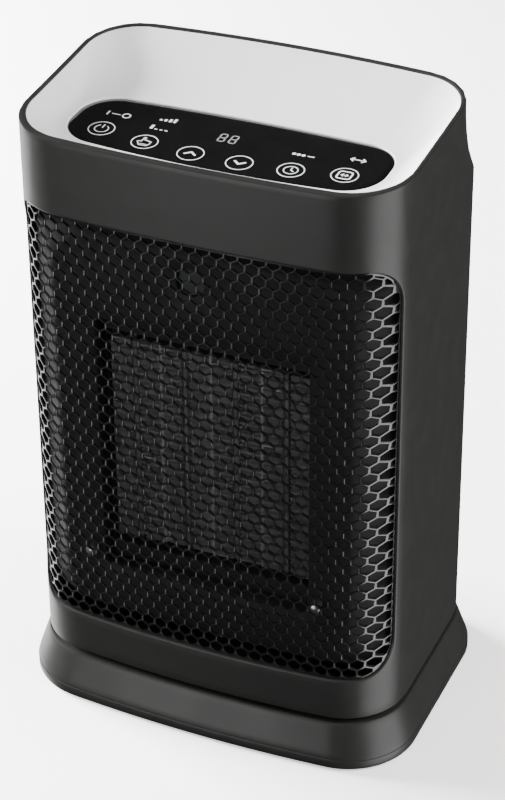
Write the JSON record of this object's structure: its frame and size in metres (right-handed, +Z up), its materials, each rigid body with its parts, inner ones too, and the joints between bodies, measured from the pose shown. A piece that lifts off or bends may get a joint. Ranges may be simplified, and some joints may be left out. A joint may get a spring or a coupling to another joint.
{
  "type": "ceramic space heater",
  "caption": "Tabletop ceramic fan heater with a honeycomb front grille and a sloped touch panel in a scooped tray, turning from side to side on a flared base.",
  "frame": {"origin": "middle of the base at floor level, under the rubber feet", "axes": "+Z up, the front grille faces -Y, +X to the right seen from the front"},
  "size_m": [0.19, 0.136, 0.3005],
  "materials": {
    "graphite_plastic": "satin graphite-grey moulded plastic with a very fine texture",
    "black_plastic": "matt black moulded plastic",
    "grille_plastic": "semi-gloss black honeycomb",
    "heat_resistant_plastic": "matt black heat-resistant plastic",
    "white_plastic": "semi-gloss white plastic",
    "panel_gloss": "polished black panel with pale printed symbols",
    "rubber": "matt black rubber",
    "nylon": "natural nylon",
    "steel": "zinc-plated steel",
    "aluminium_fin": "bare aluminium strip and bar casing",
    "circuit_board": "green solder-resist board",
    "component_black": "moulded black component",
    "transformer_tape": "amber winding tape"
  },
  "bodies": {
    "base": {"base_cover": "graphite_plastic", "base_plate": "black_plastic", "rubber_foot_1": "rubber", "rubber_foot_2": "rubber", "rubber_foot_3": "rubber", "rubber_foot_4": "rubber", "swivel_hub": "nylon", "glide_ring": "nylon", "swivel_gear": "nylon"},
    "body": {"housing": "graphite_plastic", "bottom_plate": "black_plastic", "front_grille": "grille_plastic", "top_tray": "white_plastic", "touch_panel": "panel_gloss", "touch_spring_1": "steel", "touch_spring_2": "steel", "touch_spring_3": "steel", "touch_spring_4": "steel", "touch_spring_5": "steel", "touch_spring_6": "steel", "display_board": "circuit_board", "led_display": "component_black", "rear_cover": "black_plastic", "rear_screw_1": "steel", "rear_screw_2": "steel", "rear_screw_3": "steel", "rear_screw_4": "steel", "cord_gland": "rubber", "switch_housing": "black_plastic", "heater_frame": "heat_resistant_plastic", "fin_pack_1": "aluminium_fin", "fin_pack_2": "aluminium_fin", "fin_pack_3": "aluminium_fin", "fin_pack_4": "aluminium_fin", "fin_pack_5": "aluminium_fin", "fin_pack_6": "aluminium_fin", "fin_pack_7": "aluminium_fin", "fin_pack_8": "aluminium_fin", "ceramic_bar_1": "aluminium_fin", "ceramic_bar_2": "aluminium_fin", "ceramic_bar_3": "aluminium_fin", "ceramic_bar_4": "aluminium_fin", "thermal_cutout": "component_black", "heat_sensor": "nylon", "air_baffle": "heat_resistant_plastic", "air_duct": "heat_resistant_plastic", "fan_shroud": "heat_resistant_plastic", "fan_motor": "steel", "drive_bracket": "steel", "drive_motor": "steel", "tip_over_switch": "component_black", "power_board": "circuit_board", "relay_1": "component_black", "relay_2": "component_black", "transformer": "transformer_tape", "smoothing_capacitor": "component_black"},
    "fan": {"fan_impeller": "component_black", "fan_shaft": "steel"},
    "pinion": {"drive_pinion": "nylon"},
    "rocker": {"power_rocker": "black_plastic"}
  },
  "joints": [
    {"name": "body_swivel", "type": "hinge", "parent": "base", "child": "body", "pos_m": [0, 0, 0.0256], "axis": [0, 0, 1], "range_deg": [-35, 35]},
    {"name": "pinion_spin", "type": "hinge", "parent": "body", "child": "pinion", "pos_m": [0, 0.039, 0.0337], "axis": [0, 0, 1], "range_deg": [-117, 117]},
    {"name": "fan_spin", "type": "hinge", "parent": "body", "child": "fan", "pos_m": [0, 0.017, 0.14], "axis": [0, 1, 0], "continuous": true},
    {"name": "rocker_tilt", "type": "hinge", "parent": "body", "child": "rocker", "pos_m": [0.034, 0.062, 0.058], "axis": [-1, 0, 0], "range_deg": [0, 14]}
  ],
  "couplings": [
    {"joint": "pinion_spin", "follows": "body_swivel", "ratio": 3.3333}
  ]
}
